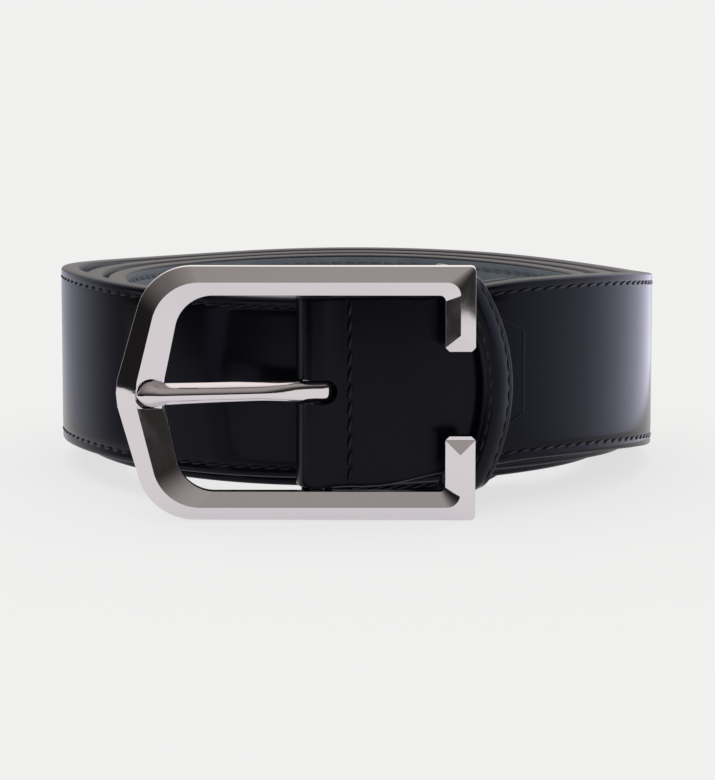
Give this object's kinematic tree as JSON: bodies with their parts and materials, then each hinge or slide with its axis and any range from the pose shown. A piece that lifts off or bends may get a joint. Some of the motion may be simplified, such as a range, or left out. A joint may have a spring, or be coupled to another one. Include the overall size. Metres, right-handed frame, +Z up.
{
  "type": "leather belt",
  "caption": "Coiled dress belt: stitched, lined leather strap folded round the crossbar of a polished split-heel frame buckle, with a hinged prong and a bowed leather keeper.",
  "frame": {"origin": "bottom centre of the bounding box, on the surface the belt stands on", "axes": "+Z up, along the coil's axis; -Y to the front, the way the buckle faces; +X to the right seen from the front, the side of the buckle's split heel"},
  "size_m": [0.1206, 0.127, 0.0486],
  "materials": {
    "polished_calf": "black calf, brushed to a mirror shine",
    "leather_board": "bonded leather board",
    "lining_leather": "matt grey nubuck",
    "sewing_thread": "black waxed sewing thread",
    "polished_metal": "polished zinc alloy with a palladium plate"
  },
  "bodies": {
    "strap": {"strap_face": "polished_calf", "strap_filler": "leather_board", "strap_lining": "lining_leather", "edge_needle_thread": "sewing_thread", "edge_bobbin_thread": "sewing_thread", "seam_needle_thread": "sewing_thread", "seam_bobbin_thread": "sewing_thread"},
    "buckle": {"buckle_frame": "polished_metal", "crossbar": "polished_metal"},
    "prong": {"prong": "polished_metal"},
    "keeper": {"keeper_face": "polished_calf", "keeper_lining": "lining_leather", "keeper_near_needle_thread": "sewing_thread", "keeper_near_bobbin_thread": "sewing_thread", "keeper_far_needle_thread": "sewing_thread", "keeper_far_bobbin_thread": "sewing_thread"}
  },
  "joints": [
    {"name": "frame_swing", "type": "hinge", "parent": "strap", "child": "buckle", "pos_m": [-0.00747, -0.0554, 0.0243], "axis": [0, 0, -1], "range_deg": [0, 24]},
    {"name": "prong_swing", "type": "hinge", "parent": "buckle", "child": "prong", "pos_m": [-0.00747, -0.0554, 0.0243], "axis": [0, 0, 1], "range_deg": [0, 97]},
    {"name": "keeper_slide", "type": "hinge", "parent": "strap", "child": "keeper", "pos_m": [-0.00117, 0.00317, 0.0243], "axis": [0, 0, 1], "range_deg": [0, 12]}
  ]
}
